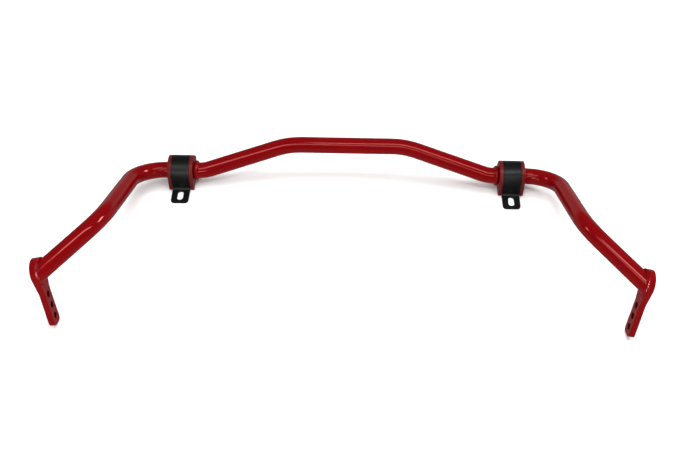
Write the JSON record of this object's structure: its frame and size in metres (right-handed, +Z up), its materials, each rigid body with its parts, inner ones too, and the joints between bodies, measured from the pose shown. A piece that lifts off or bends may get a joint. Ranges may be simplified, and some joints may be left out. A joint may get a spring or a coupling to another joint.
{
  "type": "sway bar",
  "caption": "Front sway bar: bent tube with welded end blades, locating collars, and split D bushes under slotted strap brackets that turn on the bar.",
  "frame": {"origin": "on the plane that the brackets and blade tips stand on, at the middle of the bar from side to side and from front to back", "axes": "+X across the car along the bar, arms and blades towards -Y, +Z up from the plane that the brackets bolt to"},
  "size_m": [1.165, 0.4856, 0.1444],
  "materials": {
    "red_powder_coat": "gloss red powder coat over steel",
    "red_polyurethane": "cast red polyurethane, satin",
    "black_coat": "satin black coating over pressed steel"
  },
  "bodies": {
    "bar": {"bar_tube": "red_powder_coat", "left_blade": "red_powder_coat", "right_blade": "red_powder_coat", "left_weld": "red_powder_coat", "right_weld": "red_powder_coat", "left_collar": "red_powder_coat", "right_collar": "red_powder_coat"},
    "left_mount": {"left_bush": "red_polyurethane", "left_bracket": "black_coat"},
    "right_mount": {"right_bush": "red_polyurethane", "right_bracket": "black_coat"}
  },
  "joints": [
    {"name": "left_mount_turn", "type": "hinge", "parent": "bar", "child": "left_mount", "pos_m": [-0.358, 0.16978, 0.029], "axis": [1, 0, 0], "range_deg": [-25, 25]},
    {"name": "right_mount_turn", "type": "hinge", "parent": "bar", "child": "right_mount", "pos_m": [0.358, 0.16978, 0.029], "axis": [1, 0, 0], "range_deg": [-25, 25]}
  ],
  "couplings": [
    {"joint": "right_mount_turn", "follows": "left_mount_turn", "ratio": 1}
  ]
}
